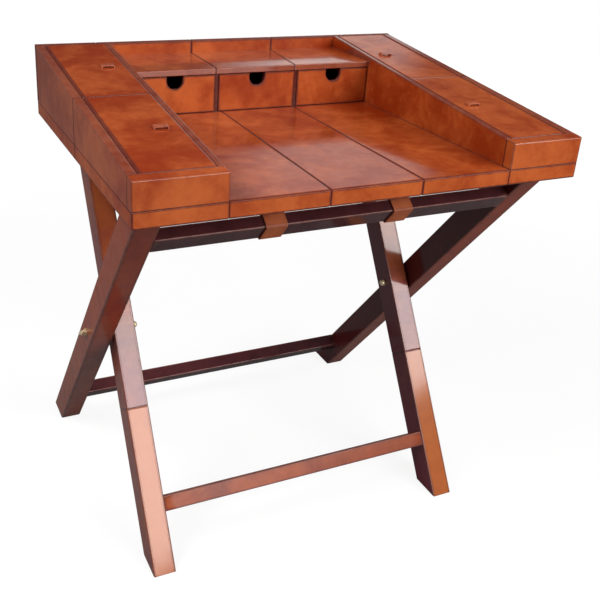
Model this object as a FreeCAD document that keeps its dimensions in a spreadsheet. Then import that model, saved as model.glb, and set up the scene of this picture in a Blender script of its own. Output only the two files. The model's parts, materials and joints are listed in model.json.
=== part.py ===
import FreeCAD, Part
import os

import Sketcher

# A leather-clad campaign desk: a tray top with two sloping lidded side boxes and a gallery of three
# drawers, lifted onto a folding X-frame that is clamped at its crossing by wing nuts.
# Millimetres, +Z up, the desk's front towards -Y. The origin is at floor level under the middle of
# the desk's plan.

doc = FreeCAD.newDocument("campaign_desk")
sheet = doc.addObject("Spreadsheet::Sheet", "sizes")

driving_sizes = {
    # the tray top
    "top_width": 760,
    "top_depth": 602,
    "surface_height": 732,  # floor to writing surface
    "board_thick": 26,
    "board_bevel": 1.5,
    "seat_gap": 0.3,  # between the loose top and what it rests on
    # the side boxes, whose lids slope down to the front
    "box_width": 139,
    "front_rise": 43,  # writing surface to the boxes' top at the front
    "rear_rise": 105,  # and at the back
    "side_wall": 15,
    "inner_wall": 10,
    "front_wall": 20,
    "back_thick": 12,
    "wall_round": 2,
    "front_wall_bevel": 1.5,
    "partition_place": 313,  # from the front to the middle of the partition
    "partition_thick": 12,
    "ledge_width": 8,
    "ledge_height": 10,
    "housing_depth": 3,  # of the grooves that hold the shelf, the dividers and the drawers' floors
    "housing_play": 0.1,
    # the lids, which swing on a rod along each outer wall
    "lid_thick": 10,
    "lid_gap": 1,
    "lid_bevel": 1.2,
    "lid_seat_gap": 0.3,
    "rod_diameter": 4,
    "rod_play": 0.1,
    "rod_bite": 8,  # how far a rod's ends reach into the front wall and the back board
    "pull_span": 24,
    "pull_width": 10,
    "pull_thick": 2,
    "pull_rise": 4.8,
    "pull_root": 6,  # how deep its ends go into the lid
    "pull_inset": 32,  # from the lid's free edge to the middle of the pull
    "pull_play": 0.2,
    "pull_bend": 1.6,
    "front_pull_place": 167,  # from the front edge of the top to the middle of the pull
    "rear_pull_place": 454,
    # the gallery and its drawers
    "shelf_place": 444,  # from the front edge of the top to the front of the shelf
    "shelf_rise": 81,  # writing surface to the top of the shelf
    "shelf_thick": 11,
    "shelf_round": 1.5,
    "divider_thick": 6,
    "divider_setback": 3,
    "drawer_gap": 1,
    "drawer_float": 0.3,
    "drawer_inset": 0.5,
    "drawer_front": 10,
    "drawer_bevel": 1,
    "drawer_wall": 6,
    "drawer_floor": 4,
    "drawer_floor_lift": 4,
    "drawer_back_gap": 3,
    "tray_drop": 6,  # how much lower a tray's walls are than its front
    "notch_width": 31.5,
    "notch_depth": 23.5,
    # the folding X-frame
    "frame_inset": 18,  # from the top's sides to the outer legs' outer faces
    "leg_gap": 3,  # between an outer leg and the inner leg beside it
    "leg_thick": 41,
    "leg_width": 52.5,
    "leg_round": 2.5,
    "outer_lean": 39.5,  # degrees from upright, towards the front
    "inner_lean": 32.5,  # degrees from upright, towards the back
    "pivot_height": 363,
    "pivot_setback": 352,  # from the front edge of the top to the pivot
    "rail_width": 36,
    "rail_depth": 22,
    "rail_drop": 68.9,  # along a leg, from its top to the middle of the rail
    "rear_stretcher_width": 31.5,
    "rear_stretcher_depth": 28,
    "rear_stretcher_lift": 80,  # along a leg, from its foot to the middle of the stretcher
    "front_stretcher_width": 28,
    "front_stretcher_depth": 16,
    "front_stretcher_lift": 102.5,
    "front_stretcher_inset": 2,
    "bar_round": 2,
    "tenon_length": 14,
    "tenon_shoulder": 3.5,
    "tenon_play": 0.2,
    # leather straps that tie the top down to the rails
    "strap_width": 37,
    "strap_thick": 2.5,
    "strap_gap": 0.3,
    "front_left_strap_place": 125,  # from the desk's middle to the middle of a strap
    "front_right_strap_place": 105,
    "rear_left_strap_place": 170,
    "rear_right_strap_place": 170,
    "strap_flap": 32,
    "snap_diameter": 13,
    "snap_height": 3,
    # the pivots and their fittings
    "bolt_diameter": 6,
    "bolt_play": 0.1,
    "head_diameter": 12.5,
    "head_height": 11,
    "head_round": 6,
    "bolt_tail": 1,  # how far a bolt stands out of its wing nut
    "fitting_gap": 0.3,
    "washer_diameter": 15,
    "washer_thick": 1.2,
    "nut_base": 12.5,
    "nut_crown": 9.5,
    "nut_height": 8,
    "nut_flange": 2.2,
    "wing_reach": 9.5,  # from the bolt's axis to the middle of a wing's round end
    "wing_lift": 7,  # from the nut's seat to the middle of a wing's round end
    "wing_radius": 3.8,
    "wing_thick": 2.8,
    "wing_turn": 58,
}

for row, (name, number) in enumerate(driving_sizes.items(), start=1):
    sheet.set(f"A{row}", name)
    sheet.set(f"B{row}", str(number))
    sheet.setAlias(f"B{row}", name)
doc.recompute()


close = 0.001  # how near two places are when they are taken as one


def value(expression):
    found = sheet.evalExpression(expression)
    return float(getattr(found, "Value", found))


# Places that several pieces share, as expressions of the driving sizes.

overall_depth = (
    "(sizes.pivot_setback + sizes.pivot_height * tan(sizes.outer_lean)"
    " + sizes.leg_width / 2 / cos(sizes.outer_lean))"
)
top_front = f"(-{overall_depth} / 2)"
top_back = f"({top_front} + sizes.top_depth)"
underside = "(sizes.surface_height - sizes.board_thick)"
half_top = "(sizes.top_width / 2)"
bay_half = "(sizes.top_width / 2 - sizes.box_width)"  # to the inner faces of the side boxes
pivot_y = f"({top_front} + sizes.pivot_setback)"
slope = "((sizes.rear_rise - sizes.front_rise) / sizes.top_depth)"
slope_angle = f"atan({slope})"
back_inside = f"({top_back} - sizes.back_thick)"
shelf_front = f"({top_front} + sizes.shelf_place)"
shelf_under = "(sizes.surface_height + sizes.shelf_rise - sizes.shelf_thick)"
lid_upright = f"(sizes.lid_thick / cos({slope_angle}))"  # a lid's thickness measured straight up
outer_half = "(sizes.top_width / 2 - sizes.frame_inset)"  # to the outer legs' outer faces
inner_half = f"({outer_half} - sizes.leg_thick - sizes.leg_gap)"  # to the inner legs' outer faces
outer_span = f"(2 * ({outer_half} - sizes.leg_thick))"
inner_span = f"(2 * ({inner_half} - sizes.leg_thick))"


def box_top(y):
    """The height of the side boxes' sloping top at a place along Y."""
    return f"(sizes.surface_height + sizes.front_rise + (({y}) - {top_front}) * {slope})"


# Ways of making a piece.


def new_body(label, x="0", y="0", z="0", turn=None, sense=1):
    """A body standing at x, y, z, turned about an X axis through that point."""
    body = doc.addObject("PartDesign::Body", label)
    body.Label = label
    if turn:
        axis = FreeCAD.Vector(sense, 0, 0)
        body.Placement = FreeCAD.Placement(FreeCAD.Vector(), FreeCAD.Rotation(axis, value(turn)))
        body.setExpression("Placement.Rotation.Angle", turn)
    body.setExpression("Placement.Base.x", x)
    body.setExpression("Placement.Base.y", y)
    body.setExpression("Placement.Base.z", z)
    return body


def new_sketch(body, role, lift=None):
    """A sketch on one of the body's own planes, lifted along the plane's normal."""
    sketch = body.newObject("Sketcher::SketchObject", f"{body.Name}_sketch")
    plane = next(part for part in body.Origin.OriginFeatures if part.Role == role)
    sketch.AttachmentSupport = [(plane, "")]
    sketch.MapMode = "FlatFace"
    if lift:
        sketch.setExpression("AttachmentOffset.Base.z", lift)
    return sketch


def pin_point(sketch, geometry, end, x, y):
    """Ties a sketch point to its distances from the sketch's origin."""
    for kind, axis, expression in (("DistanceX", -2, x), ("DistanceY", -1, y)):
        if expression == "0":
            sketch.addConstraint(Sketcher.Constraint("PointOnObject", geometry, end, axis))
            continue
        place = value(expression)
        number = sketch.addConstraint(Sketcher.Constraint(kind, -1, 1, geometry, end, place))
        sketch.setExpression(f"Constraints[{number}]", expression)


def outline(body, role, corners, lift=None):
    """A closed outline of straight lines through corners given as expressions."""
    sketch = new_sketch(body, role, lift)
    points = [FreeCAD.Vector(value(x), value(y), 0) for x, y in corners]
    ends = points[1:] + points[:1]
    for start, end in zip(points, ends):
        sketch.addGeometry(Part.LineSegment(start, end), False)
    for index in range(len(points)):
        after = (index + 1) % len(points)
        sketch.addConstraint(Sketcher.Constraint("Coincident", index, 2, after, 1))
    for index, (x, y) in enumerate(corners):
        pin_point(sketch, index, 1, x, y)
    return sketch


def rectangle(body, role, left, right, low, high, lift=None):
    corners = [(left, low), (right, low), (right, high), (left, high)]
    return outline(body, role, corners, lift)


def circle(body, role, x, y, diameter, lift=None):
    sketch = new_sketch(body, role, lift)
    centre = FreeCAD.Vector(value(x), value(y), 0)
    round_shape = Part.Circle(centre, FreeCAD.Vector(0, 0, 1), value(diameter) / 2)
    sketch.addGeometry(round_shape, False)
    pin_point(sketch, 0, 3, x, y)
    number = sketch.addConstraint(Sketcher.Constraint("Diameter", 0, value(diameter)))
    sketch.setExpression(f"Constraints[{number}]", diameter)
    return sketch


def pad(body, sketch, length, back=False, both=False):
    feature = body.newObject("PartDesign::Pad", f"{body.Name}_pad")
    feature.Profile = sketch
    feature.setExpression("Length", length)
    feature.Reversed = back
    if both:
        feature.SideType = "Symmetric"
    doc.recompute()
    return feature


def pocket(body, sketch, length, back=False, both=False):
    """Cuts the sketch into the body, and checks that something went."""
    before = body.Shape.Volume
    feature = body.newObject("PartDesign::Pocket", f"{body.Name}_pocket")
    feature.Profile = sketch
    feature.setExpression("Length", length)
    feature.Reversed = back
    if both:
        feature.SideType = "Symmetric"
    doc.recompute()
    if not body.Shape.Volume < before:
        raise RuntimeError(f"a pocket of {body.Label} cuts nothing")
    return feature


def dress_edges(body, kind, size_name, size, picked):
    tip = body.Tip
    names = [f"Edge{n}" for n, edge in enumerate(tip.Shape.Edges, start=1) if picked(edge)]
    feature = body.newObject(f"PartDesign::{kind}", f"{body.Name}_{kind.lower()}")
    feature.Base = (tip, names)
    feature.setExpression(size_name, size)
    doc.recompute()
    return feature


def round_edges(body, radius, picked):
    """Rounds the edges of the body that picked chooses, seen in the body's own frame."""
    return dress_edges(body, "Fillet", "Radius", radius, picked)


def bevel_edges(body, size, picked):
    """Bevels the edges of the body that picked chooses."""
    return dress_edges(body, "Chamfer", "Size", size, picked)


def runs_along(edge, axis):
    """True for a straight edge that runs along an axis of its body: 0 is X, 1 is Y, 2 is Z."""
    if not isinstance(edge.Curve, Part.Line):
        return False
    return abs(abs(edge.Curve.Direction[axis]) - 1) < close


def is_above(edge, axis, height):
    return edge.BoundBox.Center[axis] > height


def board(label, left, right, front, back, low, high):
    """A straight board between six places."""
    body = new_body(label, left, front, low)
    plan = rectangle(body, "XY_Plane", "0", f"{right} - {left}", "0", f"{back} - {front}")
    pad(body, plan, f"{high} - {low}")
    return body


def sloped_board(label, left, right, front, back, low, drop="0"):
    """A board whose top follows the slope of the side boxes, or lies drop below it."""
    body = new_body(label, left, front, low)
    deep = f"{back} - {front}"
    high_front = f"{box_top(front)} - ({drop}) - {low}"
    high_back = f"{box_top(back)} - ({drop}) - {low}"
    profile = outline(body, "YZ_Plane", [("0", "0"), (deep, "0"), (deep, high_back), ("0", high_front)])
    pad(body, profile, f"{right} - {left}")
    return body


# The X-frame. Each frame's pieces stand at the pivot and lean with it, so in a piece's own frame
# Z runs up the leg and Y across it, towards the back of the desk.


def along_leg(height, across, lean, sense):
    """The place along a leaning leg that lies at a height above the floor."""
    rise = f"({height} - sizes.pivot_height - {sense} * ({across}) * sin({lean}))"
    return f"({rise} / cos({lean}))"


def leg_top(lean):
    return along_leg(f"({underside} - sizes.seat_gap)", "0", lean, 1)


def leg_foot(lean):
    return along_leg("0", "0", lean, 1)


rail_middle = {lean: f"({leg_top(lean)} - sizes.rail_drop)" for lean in ("sizes.outer_lean", "sizes.inner_lean")}

# name: lean, sense of the lean, front face, back face, low face and high face in the leg's frame
front_rail_seat = (
    "(-sizes.leg_width / 2)",
    "(-sizes.leg_width / 2 + sizes.rail_depth)",
    f"({rail_middle['sizes.outer_lean']} - sizes.rail_width / 2)",
    f"({rail_middle['sizes.outer_lean']} + sizes.rail_width / 2)",
)
rear_rail_seat = (
    "(sizes.leg_width / 2 - sizes.rail_depth)",
    "(sizes.leg_width / 2)",
    f"({rail_middle['sizes.inner_lean']} - sizes.rail_width / 2)",
    f"({rail_middle['sizes.inner_lean']} + sizes.rail_width / 2)",
)
rear_stretcher_middle = f"({leg_foot('sizes.outer_lean')} + sizes.rear_stretcher_lift)"
rear_stretcher_seat = (
    "(sizes.leg_width / 2 - sizes.rear_stretcher_depth)",
    "(sizes.leg_width / 2)",
    f"({rear_stretcher_middle} - sizes.rear_stretcher_width / 2)",
    f"({rear_stretcher_middle} + sizes.rear_stretcher_width / 2)",
)
front_stretcher_middle = f"({leg_foot('sizes.inner_lean')} + sizes.front_stretcher_lift)"
front_stretcher_seat = (
    "(-sizes.leg_width / 2 + sizes.front_stretcher_inset)",
    "(-sizes.leg_width / 2 + sizes.front_stretcher_inset + sizes.front_stretcher_depth)",
    f"({front_stretcher_middle} - sizes.front_stretcher_width / 2)",
    f"({front_stretcher_middle} + sizes.front_stretcher_width / 2)",
)


def make_leg(label, lean, sense, frame_half, side, seats):
    """One leg, cut level at the floor and under the top, bored for the pivot bolt and mortised for
    the cross bars. side is -1 on the left and 1 on the right."""
    outer_x = f"({side} * {frame_half})"
    body = new_body(label, outer_x, pivot_y, "sizes.pivot_height", lean, sense)
    front, back = "(-sizes.leg_width / 2)", "(sizes.leg_width / 2)"
    top = f"({underside} - sizes.seat_gap)"
    corners = [
        (front, along_leg("0", front, lean, sense)),
        (back, along_leg("0", back, lean, sense)),
        (back, along_leg(top, back, lean, sense)),
        (front, along_leg(top, front, lean, sense)),
    ]
    inward = side > 0
    pad(body, outline(body, "YZ_Plane", corners), "sizes.leg_thick", back=inward)
    round_edges(body, "sizes.leg_round", lambda edge: runs_along(edge, 2))
    inner_face = f"{-side} * sizes.leg_thick"
    bore = circle(body, "YZ_Plane", "0", "0", "sizes.bolt_diameter + sizes.bolt_play", inner_face)
    pocket(body, bore, "sizes.leg_thick", back=inward)
    for seat_front, seat_back, low, high in seats:
        mortise = rectangle(
            body,
            "YZ_Plane",
            f"{seat_front} + sizes.tenon_shoulder - sizes.tenon_play",
            f"{seat_back} - sizes.tenon_shoulder + sizes.tenon_play",
            f"{low} + sizes.tenon_shoulder - sizes.tenon_play",
            f"{high} - sizes.tenon_shoulder + sizes.tenon_play",
            inner_face,
        )
        pocket(body, mortise, "sizes.tenon_length + sizes.tenon_play", back=inward)
    return body


def make_bar(label, lean, sense, span, seat):
    """A cross bar between two legs, with a stub tenon at each end."""
    body = new_body(label, "0", pivot_y, "sizes.pivot_height", lean, sense)
    front, back, low, high = seat
    pad(body, rectangle(body, "YZ_Plane", front, back, low, high), span, both=True)
    round_edges(body, "sizes.bar_round", lambda edge: runs_along(edge, 0))
    tenon = rectangle(
        body,
        "YZ_Plane",
        f"{front} + sizes.tenon_shoulder",
        f"{back} - sizes.tenon_shoulder",
        f"{low} + sizes.tenon_shoulder",
        f"{high} - sizes.tenon_shoulder",
    )
    pad(body, tenon, f"{span} + 2 * sizes.tenon_length", both=True)
    return body


def make_strap(label, x, lean, sense, seat, tail_at_back, flap_sense):
    """A leather strap: a loop round a rail, a tail that rises to the top's underside and a flap that
    lies under it. It is bent from flat leather, so its outline is worked out from the rail."""
    front, back, low, high = (value(place) for place in seat)
    gap, thick, width = value("sizes.strap_gap"), value("sizes.strap_thick"), value("sizes.strap_width")
    curl = value("sizes.bar_round")
    ceiling = value(f"{underside} - sizes.seat_gap")
    frame = FreeCAD.Placement(
        FreeCAD.Vector(0, value(pivot_y), value("sizes.pivot_height")),
        FreeCAD.Rotation(FreeCAD.Vector(sense, 0, 0), value(lean)),
    )
    corners = [
        (front + curl, low + curl),
        (back - curl, low + curl),
        (back - curl, high - curl),
        (front + curl, high - curl),
        (front + curl, low + curl),
    ]
    core = Part.makePolygon([frame.multVec(FreeCAD.Vector(0, y, z)) for y, z in corners])
    inside = Part.Face(core.makeOffset2D(curl + gap))
    outside = Part.Face(core.makeOffset2D(curl + gap + thick))
    start = frame.multVec(FreeCAD.Vector(0, back if tail_at_back else front, high))
    near, far = start.y - thick / 2, start.y + thick / 2
    tail = Part.Face(
        Part.makePolygon(
            [FreeCAD.Vector(0, y, z) for y, z in (
                (near, start.z), (far, start.z), (far, ceiling), (near, ceiling), (near, start.z))]
        )
    )
    tip = start.y + flap_sense * value("sizes.strap_flap")
    flap = Part.Face(
        Part.makePolygon(
            [FreeCAD.Vector(0, y, z) for y, z in (
                (start.y, ceiling - thick), (tip, ceiling - thick), (tip, ceiling), (start.y, ceiling),
                (start.y, ceiling - thick))]
        )
    )
    section = outside.fuse([tail, flap]).cut(inside).removeSplitter()
    strap = doc.addObject("Part::Feature", label)
    strap.Label = label
    strap.Shape = section.extrude(FreeCAD.Vector(width, 0, 0))
    strap.Placement = FreeCAD.Placement(FreeCAD.Vector(x - width / 2, 0, 0), FreeCAD.Rotation())
    strap_flaps[label] = ((start.y + tip) / 2, ceiling - thick)
    return strap


strap_flaps = {}


def group(label, members):
    """Several like fasteners that share one node."""
    together = doc.addObject("Part::Compound", label)
    together.Label = label
    together.Links = members
    return together


def cylinder(name, diameter, height, x, y, z, along_x=False, along_slope=False):
    """A plain round primitive that stands up, or lies along X or along the boxes' slope."""
    shape = doc.addObject("Part::Cylinder", name)
    shape.setExpression("Radius", f"({diameter}) / 2")
    shape.setExpression("Height", height)
    if along_x:
        shape.Placement = FreeCAD.Placement(
            FreeCAD.Vector(), FreeCAD.Rotation(FreeCAD.Vector(0, 1, 0), 90)
        )
    if along_slope:
        angle = f"90 deg - {slope_angle}"
        shape.Placement = FreeCAD.Placement(
            FreeCAD.Vector(), FreeCAD.Rotation(FreeCAD.Vector(-1, 0, 0), value(angle))
        )
        shape.setExpression("Placement.Rotation.Angle", angle)
    shape.setExpression("Placement.Base.x", x)
    shape.setExpression("Placement.Base.y", y)
    shape.setExpression("Placement.Base.z", z)
    return shape


def ring(name, diameter, height, x):
    """A washer or spacer on a pivot bolt, its low face at x."""
    hole = "sizes.bolt_diameter + sizes.bolt_play"
    disc = cylinder(f"{name}_disc", diameter, height, x, pivot_y, "sizes.pivot_height", along_x=True)
    bore = cylinder(f"{name}_bore", hole, height, x, pivot_y, "sizes.pivot_height", along_x=True)
    cut = doc.addObject("Part::Cut", name)
    cut.Base = disc
    cut.Tool = bore
    return cut


def make_bolt(name, side):
    """A pivot bolt: a domed head inside the inner leg and a shank out through both legs."""
    body = new_body(name, f"({side} * {inner_span} / 2)", pivot_y, "sizes.pivot_height")
    pad(body, circle(body, "YZ_Plane", "0", "0", "sizes.head_diameter"), "sizes.head_height", back=side > 0)
    crown = -side * value("sizes.head_height")
    round_edges(body, "sizes.head_round", lambda edge: abs(edge.BoundBox.Center.x - crown) < close)
    reach = f"(2 * sizes.leg_thick + sizes.leg_gap + sizes.washer_thick + 2 * sizes.fitting_gap"
    reach += " + sizes.nut_height + sizes.bolt_tail)"
    pad(body, circle(body, "YZ_Plane", "0", "0", "sizes.bolt_diameter"), reach, back=side < 0)
    return body


def make_wing_nut(label, side):
    """A wing nut: a turned hub with a bore, and two flat round-ended wings that rake outwards."""
    seat = f"({side} * ({outer_half} + sizes.washer_thick + 2 * sizes.fitting_gap))"
    body = new_body(label, seat, pivot_y, "sizes.pivot_height", "sizes.wing_turn", 1)
    flange = f"{side} * sizes.nut_flange"
    crown = f"{side} * sizes.nut_height"
    hub = outline(
        body,
        "XZ_Plane",
        [
            ("0", "0"),
            (crown, "0"),
            (crown, "sizes.nut_crown / 2"),
            (flange, "sizes.nut_crown / 2"),
            (flange, "sizes.nut_base / 2"),
            ("0", "sizes.nut_base / 2"),
        ],
    )
    turned = body.newObject("PartDesign::Revolution", f"{label}_hub")
    turned.Profile = hub
    turned.ReferenceAxis = (hub, ["H_Axis"])
    turned.Angle = 360
    doc.recompute()
    for wing in (-1, 1):
        reach = f"{wing} * sizes.wing_reach"
        lift = f"{side} * sizes.wing_lift"
        web = outline(
            body,
            "XZ_Plane",
            [
                (f"{side} * sizes.nut_flange * 0.6", f"{wing} * sizes.nut_crown * 0.35"),
                (f"{side} * sizes.nut_flange * 0.8", f"{wing} * sizes.wing_reach * 0.75"),
                (f"{side} * sizes.wing_lift", reach),
                (f"{side} * sizes.nut_height * 0.85", f"{wing} * sizes.nut_crown * 0.35"),
            ],
        )
        pad(body, web, "sizes.wing_thick", both=True)
        ear = circle(body, "XZ_Plane", lift, reach, "2 * sizes.wing_radius")
        pad(body, ear, "sizes.wing_thick", both=True)
    bore = circle(body, "YZ_Plane", "0", "0", "sizes.bolt_diameter + sizes.bolt_play")
    pocket(body, bore, "sizes.nut_height", back=side > 0)
    return body


# The outer frame leans forward and carries the front rail, the inner frame leans back inside it.

sides = {"left": -1, "right": 1}
outer = ("sizes.outer_lean", 1)
inner = ("sizes.inner_lean", -1)


def make_frames():
    pieces = []
    for hand, side in sides.items():
        outer_seats = (front_rail_seat, rear_stretcher_seat)
        inner_seats = (rear_rail_seat, front_stretcher_seat)
        pieces.append(make_leg(f"outer_leg_{hand}", *outer, outer_half, side, outer_seats))
        pieces.append(make_leg(f"inner_leg_{hand}", *inner, inner_half, side, inner_seats))
    pieces.append(make_bar("front_rail", *outer, outer_span, front_rail_seat))
    pieces.append(make_bar("rear_stretcher", *outer, outer_span, rear_stretcher_seat))
    pieces.append(make_bar("rear_rail", *inner, inner_span, rear_rail_seat))
    pieces.append(make_bar("front_stretcher", *inner, inner_span, front_stretcher_seat))
    return pieces


def make_straps():
    """Two straps on each rail, and the brass snap under each strap's flap."""
    pieces = []
    rails = {
        "front": (outer, front_rail_seat, True, 1),
        "rear": (inner, rear_rail_seat, False, -1),
    }
    for rail, (leaning, seat, tail_at_back, flap_sense) in rails.items():
        snaps = []
        for hand, side in sides.items():
            label = f"{rail}_strap_{hand}"
            place = f"sizes.{rail}_{hand}_strap_place"
            x = side * value(place)
            pieces.append(make_strap(label, x, *leaning, seat, tail_at_back, flap_sense))
            y, z = strap_flaps[label]
            snap = cylinder(
                f"{rail}_snap_{hand}",
                "sizes.snap_diameter",
                "sizes.snap_height",
                f"{side} * {place}",
                str(y),
                f"{z} - sizes.snap_height",
            )
            snaps.append(snap)
        pieces.append(group(f"{rail}_strap_snaps", snaps))
    return pieces


def make_pivots():
    pieces = [make_wing_nut(f"wing_nut_{hand}", side) for hand, side in sides.items()]
    bolts = [make_bolt(f"bolt_{hand}", side) for hand, side in sides.items()]
    pieces.append(group("pivot_bolts", bolts))
    spacer_length = "(sizes.leg_gap - 2 * sizes.fitting_gap)"
    spacers = []
    washers = []
    for hand, side in sides.items():
        middle = f"({side} * ({inner_half} + sizes.leg_gap / 2))"
        low = f"({middle} - {spacer_length} / 2)"
        spacers.append(ring(f"spacer_{hand}", "sizes.washer_diameter", spacer_length, low))
        middle = f"({side} * ({outer_half} + sizes.fitting_gap + sizes.washer_thick / 2))"
        low = f"({middle} - sizes.washer_thick / 2)"
        washers.append(ring(f"washer_{hand}", "sizes.washer_diameter", "sizes.washer_thick", low))
    pieces.append(group("pivot_spacers", spacers))
    pieces.append(group("wing_washers", washers))
    return pieces


# The tray top: a board, with a box built on each side of it and a gallery across the back.

wall_front = f"({top_front} + sizes.front_wall)"
housing = "sizes.housing_depth"

# The rods that the lids swing on lie half a lid's thickness below the boxes' sloping top.
rod_x = f"({half_top} - sizes.side_wall - sizes.lid_gap - sizes.lid_thick / 2)"


def rod_height(y):
    return f"({box_top(y)} - {lid_upright} / 2)"


def make_board():
    left = f"(-{half_top})"
    body = board("desk_board", left, half_top, top_front, top_back, underside, "sizes.surface_height")
    bevel_edges(body, "sizes.board_bevel", lambda edge: True)
    for side in (-1, 1):
        groove = rectangle(
            body,
            "XY_Plane",
            f"{half_top} + {divider_left(side)} - sizes.housing_play",
            f"{half_top} + {divider_left(side)} + sizes.divider_thick + sizes.housing_play",
            "sizes.shelf_place + sizes.divider_setback - sizes.housing_play",
            "sizes.top_depth - sizes.back_thick",
            "sizes.board_thick",
        )
        pocket(body, groove, housing)
    return body


def bore_for_rod(body, left, front, low, place, side):
    """A blind bore for a rod's end, drilled along the slope from a wall's inner face."""
    sketch = new_sketch(body, "XZ_Plane")
    tilt = FreeCAD.Rotation(FreeCAD.Vector(1, 0, 0), value(slope_angle))
    sketch.AttachmentOffset = FreeCAD.Placement(FreeCAD.Vector(), tilt)
    sketch.setExpression("AttachmentOffset.Rotation.Angle", slope_angle)
    sketch.setExpression("AttachmentOffset.Base.x", f"{side} * {rod_x} - {left}")
    sketch.setExpression("AttachmentOffset.Base.y", f"{rod_height(place)} - {low}")
    sketch.setExpression("AttachmentOffset.Base.z", f"{front} - {place}")
    doc.recompute()
    centre = FreeCAD.Vector(0, 0, 0)
    diameter = "sizes.rod_diameter + sizes.rod_play"
    sketch.addGeometry(Part.Circle(centre, FreeCAD.Vector(0, 0, 1), value(diameter) / 2), False)
    pin_point(sketch, 0, 3, "0", "0")
    number = sketch.addConstraint(Sketcher.Constraint("Diameter", 0, value(diameter)))
    sketch.setExpression(f"Constraints[{number}]", diameter)
    pocket(body, sketch, "2 * sizes.rod_bite", both=True)


def make_back():
    left = f"(-{half_top})"
    body = sloped_board("back_board", left, half_top, back_inside, top_back, "sizes.surface_height")
    for side in (-1, 1):
        bore_for_rod(body, left, back_inside, "sizes.surface_height", back_inside, side)
    round_edges(body, "sizes.wall_round", lambda edge: runs_along(edge, 0) and is_above(edge, 2, 1))
    return body


def box_sides(side, far, near):
    """The left and right of something in a side box, from its distances to the desk's middle."""
    return (f"(-{far})", f"(-{near})") if side < 0 else (near, far)


def on_rim(edge):
    """True for a wall's long edges along the boxes' sloping top."""
    high = is_above(edge, 2, value("sizes.front_rise") / 2 + 1)
    return high and edge.BoundBox.YLength > value("sizes.side_wall")


def make_side_wall(hand, side):
    left, right = box_sides(side, half_top, f"({half_top} - sizes.side_wall)")
    label = f"side_wall_{hand}"
    body = sloped_board(label, left, right, wall_front, back_inside, "sizes.surface_height")
    round_edges(body, "sizes.wall_round", on_rim)
    return body


def make_inner_wall(hand, side):
    """An inner wall, housed for the end of the gallery's shelf."""
    left, right = box_sides(side, f"({bay_half} + sizes.inner_wall)", bay_half)
    label = f"inner_wall_{hand}"
    body = sloped_board(label, left, right, wall_front, back_inside, "sizes.surface_height")
    round_edges(body, "sizes.wall_round", on_rim)
    low = "sizes.shelf_rise - sizes.shelf_thick"
    seat = rectangle(
        body,
        "YZ_Plane",
        "sizes.shelf_place - sizes.front_wall - sizes.housing_play",
        f"{back_inside} - {wall_front}",
        low,
        "sizes.shelf_rise + sizes.housing_play",
        "sizes.inner_wall" if side < 0 else None,
    )
    pocket(body, seat, housing, back=side > 0)
    return body


def make_front_wall(hand, side):
    left, right = box_sides(side, half_top, bay_half)
    label = f"front_wall_{hand}"
    body = sloped_board(label, left, right, top_front, wall_front, "sizes.surface_height")
    bore_for_rod(body, left, top_front, "sizes.surface_height", wall_front, side)
    bevel_edges(
        body,
        "sizes.front_wall_bevel",
        lambda edge: isinstance(edge.Curve, Part.Line) and is_above(edge, 2, close),
    )
    return body


def make_partition(hand, side):
    """The wall between a box's front and rear hollows, which stops just under the lids and is
    notched round the ledge."""
    middle = f"({top_front} + sizes.partition_place)"
    front = f"({middle} - sizes.partition_thick / 2)"
    back = f"({middle} + sizes.partition_thick / 2)"
    far = f"({half_top} - sizes.side_wall)"
    near = f"({bay_half} + sizes.inner_wall)"
    left, right = box_sides(side, far, near)
    drop = f"({lid_upright} + sizes.lid_seat_gap)"
    body = sloped_board(f"partition_{hand}", left, right, front, back, "sizes.surface_height", drop)
    width = f"({right} - {left})"
    depth = "(sizes.ledge_width + sizes.housing_play)"
    corner = (f"{width} - {depth}", width) if side < 0 else ("0", depth)
    high = f"{box_top(back)} - {drop} - sizes.surface_height"
    low = f"{box_top(front)} - {drop} - sizes.surface_height - sizes.ledge_height - sizes.housing_play"
    notch = rectangle(body, "XZ_Plane", *corner, low, high)
    pocket(body, notch, "sizes.partition_thick")
    return body


def make_ledge(hand, side):
    """A strip along the inner wall that the lids' free edges rest on."""
    near = f"({bay_half} + sizes.inner_wall)"
    left, right = box_sides(side, f"({near} + sizes.ledge_width)", near)
    body = new_body(f"lid_ledge_{hand}", left, wall_front, "sizes.surface_height")
    deep = f"{back_inside} - {wall_front}"
    drop = f"{lid_upright} + sizes.lid_seat_gap + sizes.surface_height"
    high_front = f"{box_top(wall_front)} - ({drop})"
    high_back = f"{box_top(back_inside)} - ({drop})"
    corners = [
        ("0", f"{high_front} - sizes.ledge_height"),
        (deep, f"{high_back} - sizes.ledge_height"),
        (deep, high_back),
        ("0", high_front),
    ]
    pad(body, outline(body, "YZ_Plane", corners), "sizes.ledge_width")
    return body


def make_rods():
    """The two steel rods, one group."""
    rods = []
    length = f"(({back_inside} - {wall_front}) / cos({slope_angle}) + 2 * sizes.rod_bite)"
    start = f"({wall_front} - sizes.rod_bite * cos({slope_angle}))"
    for hand, side in sides.items():
        place = (f"({side} * {rod_x})", start, rod_height(start))
        rods.append(cylinder(f"rod_{hand}", "sizes.rod_diameter", length, *place, along_slope=True))
    return group("lid_rods", rods)


# The lids. A lid's own frame stands on its rod where the lid's front edge is, with Y up the slope
# and Z square to it.

lid_reach = f"({rod_x} - {bay_half} - sizes.inner_wall - sizes.lid_gap)"
lid_places = {
    "front": (
        f"({wall_front} + sizes.lid_gap)",
        f"({top_front} + sizes.partition_place - sizes.lid_gap / 2)",
    ),
    "rear": (
        f"({top_front} + sizes.partition_place + sizes.lid_gap / 2)",
        f"({back_inside} - sizes.lid_gap)",
    ),
}
pull_places = {"front": "sizes.front_pull_place", "rear": "sizes.rear_pull_place"}


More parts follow.
